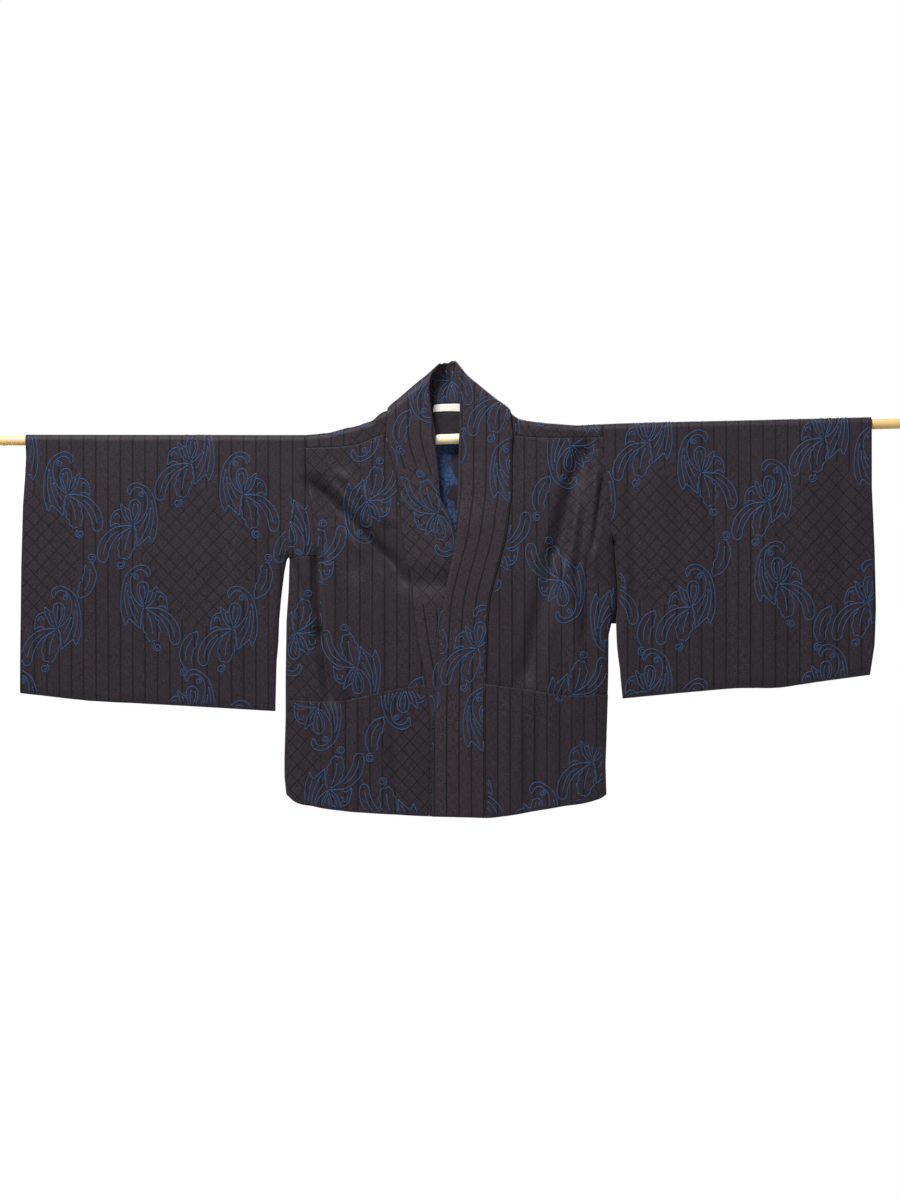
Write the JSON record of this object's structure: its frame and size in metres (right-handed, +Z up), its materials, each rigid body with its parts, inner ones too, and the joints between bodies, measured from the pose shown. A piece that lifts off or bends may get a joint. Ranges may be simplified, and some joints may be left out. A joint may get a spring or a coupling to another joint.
{
  "type": "kimono jacket on bamboo rod",
  "caption": "Short kimono jacket with wide rectangular sleeves, a folded collar band and patch pockets, hung flat on a bamboo rod through its sleeves.",
  "frame": {"origin": "on the rod's axis at the middle of the jacket, where the rod holds it", "axes": "+X along the rod to the viewer's right, +Z up, and the jacket's front faces -Y"},
  "size_m": [1.5602, 0.0469, 0.7585],
  "materials": {
    "dark_cloth": "dark purple-black figured weave with dark stripes and lattice and raised blue lines, dull sheen",
    "band_cloth": "the same cloth, folded double as the collar band",
    "pocket_cloth": "the same cloth as patch pockets",
    "cream_tape": "bare white woven label",
    "bamboo": "pale natural bamboo, glossy"
  },
  "bodies": {
    "root": {"back": "dark_cloth", "front_left": "dark_cloth", "front_right": "dark_cloth", "sleeve_left": "dark_cloth", "sleeve_right": "dark_cloth", "collar_band": "band_cloth", "pocket_left": "pocket_cloth", "pocket_right": "pocket_cloth", "neck_label": "cream_tape", "rod": "bamboo"}
  },
  "joints": []
}
